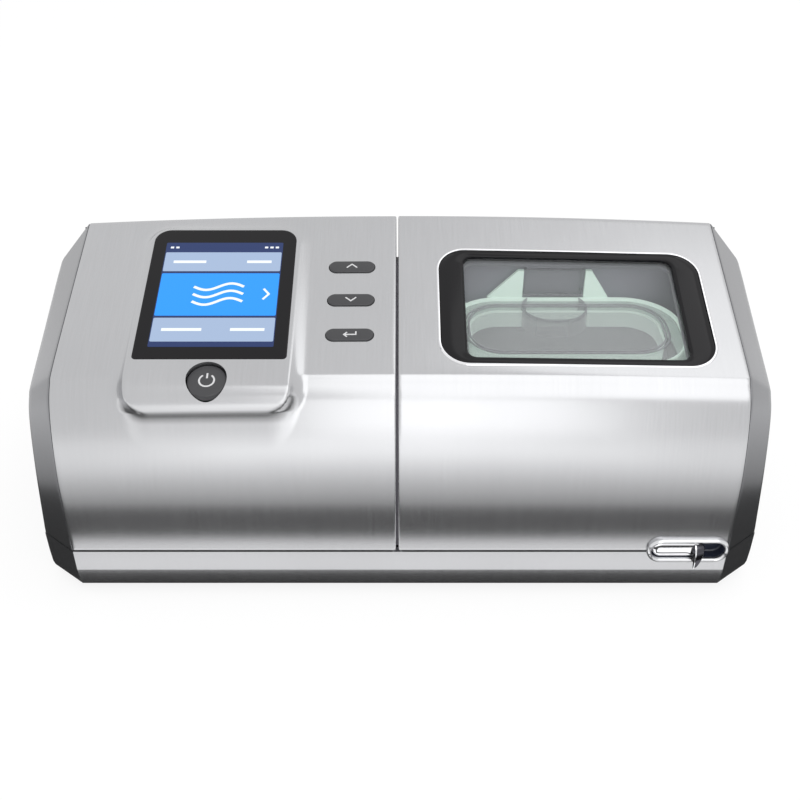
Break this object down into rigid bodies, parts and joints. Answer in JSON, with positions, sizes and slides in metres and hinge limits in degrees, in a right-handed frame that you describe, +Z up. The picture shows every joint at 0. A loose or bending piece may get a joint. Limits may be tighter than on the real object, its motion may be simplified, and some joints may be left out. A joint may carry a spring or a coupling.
{
  "type": "bedside cpap machine",
  "caption": "Bedside positive airway pressure machine: sloped silver hood, colour screen with keys, hinged lid with a window over the heated water chamber, rear air outlet.",
  "frame": {"origin": "middle of the underside, on the table under the rubber feet", "axes": "+X to the viewer's right, -Y to the front, +Z up"},
  "size_m": [0.265, 0.157, 0.1137],
  "materials": {
    "silver_paint": "satin brushed silver",
    "dark_cap": "satin dark grey",
    "rubber_black": "matte",
    "steel": "brushed",
    "screen_black": "gloss",
    "display": "lit panel",
    "board_green": "satin",
    "black_plastic": "matte",
    "key_grey": "satin",
    "blower_white": "satin",
    "filter_white": "fibre",
    "bay_navy": "matte",
    "liner_grey": "matte",
    "aluminium_plate": "satin",
    "heater_film": "film",
    "clear_water": "clear moulded",
    "clear_pane": "clear",
    "chrome_trim": "polished",
    "ring_silver": "satin"
  },
  "bodies": {
    "base": {"base_shell": "silver_paint", "main_cover": "silver_paint", "base_left_cap": "dark_cap", "base_right_cap": "dark_cap", "left_side_cap": "dark_cap", "rear_cover": "dark_cap", "rear_left_cap": "dark_cap", "rear_right_cap": "dark_cap", "rubber_feet": "rubber_black", "blower_mounts": "rubber_black", "duct_gasket": "rubber_black", "chamber_seal": "rubber_black", "base_screws": "steel", "cover_screws": "steel", "hinge_pin": "steel", "motor_bearings": "steel", "heater_springs": "steel", "latch_spring": "steel", "card_socket": "steel", "screen_glass": "screen_black", "lcd_module": "display", "main_board": "board_green", "key_board": "board_green", "power_board": "board_green", "tact_switches": "black_plastic", "blower_motor": "black_plastic", "power_inlet": "black_plastic", "air_outlet": "black_plastic", "outlet_duct": "black_plastic", "air_duct": "black_plastic", "blower_housing": "blower_white", "blower_cover": "blower_white", "chamber_bay": "bay_navy", "latch_cup": "bay_navy", "chamber_base_plate": "aluminium_plate", "chamber_tub": "clear_water", "chamber_lid": "clear_water", "latch_ring_lower": "ring_silver"},
    "lid": {"lid_shell": "silver_paint", "hinge_brackets": "liner_grey", "right_side_cap": "dark_cap", "window_trim": "chrome_trim", "window_frame": "screen_black", "window_pane": "clear_pane", "lid_liner": "liner_grey", "lid_catch": "steel", "latch_ring_upper": "ring_silver"},
    "latch": {"latch_slider": "chrome_trim"},
    "power_key": {"power_button": "key_grey"},
    "up_key": {"up_button": "key_grey"},
    "down_key": {"down_button": "key_grey"},
    "enter_key": {"enter_button": "key_grey"},
    "rotor": {"impeller": "blower_white", "motor_shaft": "steel"},
    "heater": {"heater_plate": "aluminium_plate", "heating_pad": "heater_film"},
    "filter_door": {"filter_cover": "black_plastic", "filter_pad": "filter_white"},
    "card": {"memory_card": "black_plastic"}
  },
  "joints": [
    {"name": "lid_hinge", "type": "hinge", "parent": "base", "child": "lid", "pos_m": [0.0625, 0.009, 0.098], "axis": [-1, 0, 0], "range_deg": [0, 95]},
    {"name": "latch_slide", "type": "slide", "parent": "base", "child": "latch", "axis": [1, 0, 0], "range_m": [0, 0.007], "stiffness_N_per_m": 60, "springref_m": -0.002, "deforming": ["latch_spring"]},
    {"name": "power_button_press", "type": "slide", "parent": "base", "child": "power_key", "axis": [0, 0.2957, -0.9553], "range_m": [0, 0.0008], "stiffness_N_per_m": 300, "springref_m": -0.0005},
    {"name": "up_button_press", "type": "slide", "parent": "base", "child": "up_key", "axis": [0, 0.2957, -0.9553], "range_m": [0, 0.0008], "stiffness_N_per_m": 300, "springref_m": -0.0005},
    {"name": "down_button_press", "type": "slide", "parent": "base", "child": "down_key", "axis": [0, 0.2957, -0.9553], "range_m": [0, 0.0008], "stiffness_N_per_m": 300, "springref_m": -0.0005},
    {"name": "enter_button_press", "type": "slide", "parent": "base", "child": "enter_key", "axis": [0, 0.2957, -0.9553], "range_m": [0, 0.0008], "stiffness_N_per_m": 300, "springref_m": -0.0005},
    {"name": "impeller_spin", "type": "hinge", "parent": "base", "child": "rotor", "pos_m": [-0.066, 0.002, 0.06], "axis": [0, 0, 1], "continuous": true},
    {"name": "heater_plate_press", "type": "slide", "parent": "base", "child": "heater", "axis": [0, 0, -1], "range_m": [0, 0.0015], "stiffness_N_per_m": 1500, "springref_m": -0.002, "deforming": ["heater_springs"]},
    {"name": "filter_cover_pull", "type": "slide", "parent": "base", "child": "filter_door", "axis": [0, 1, 0], "range_m": [0, 0.025]},
    {"name": "memory_card_slide", "type": "slide", "parent": "base", "child": "card", "axis": [-1, 0, 0], "range_m": [0, 0.018]}
  ]
}
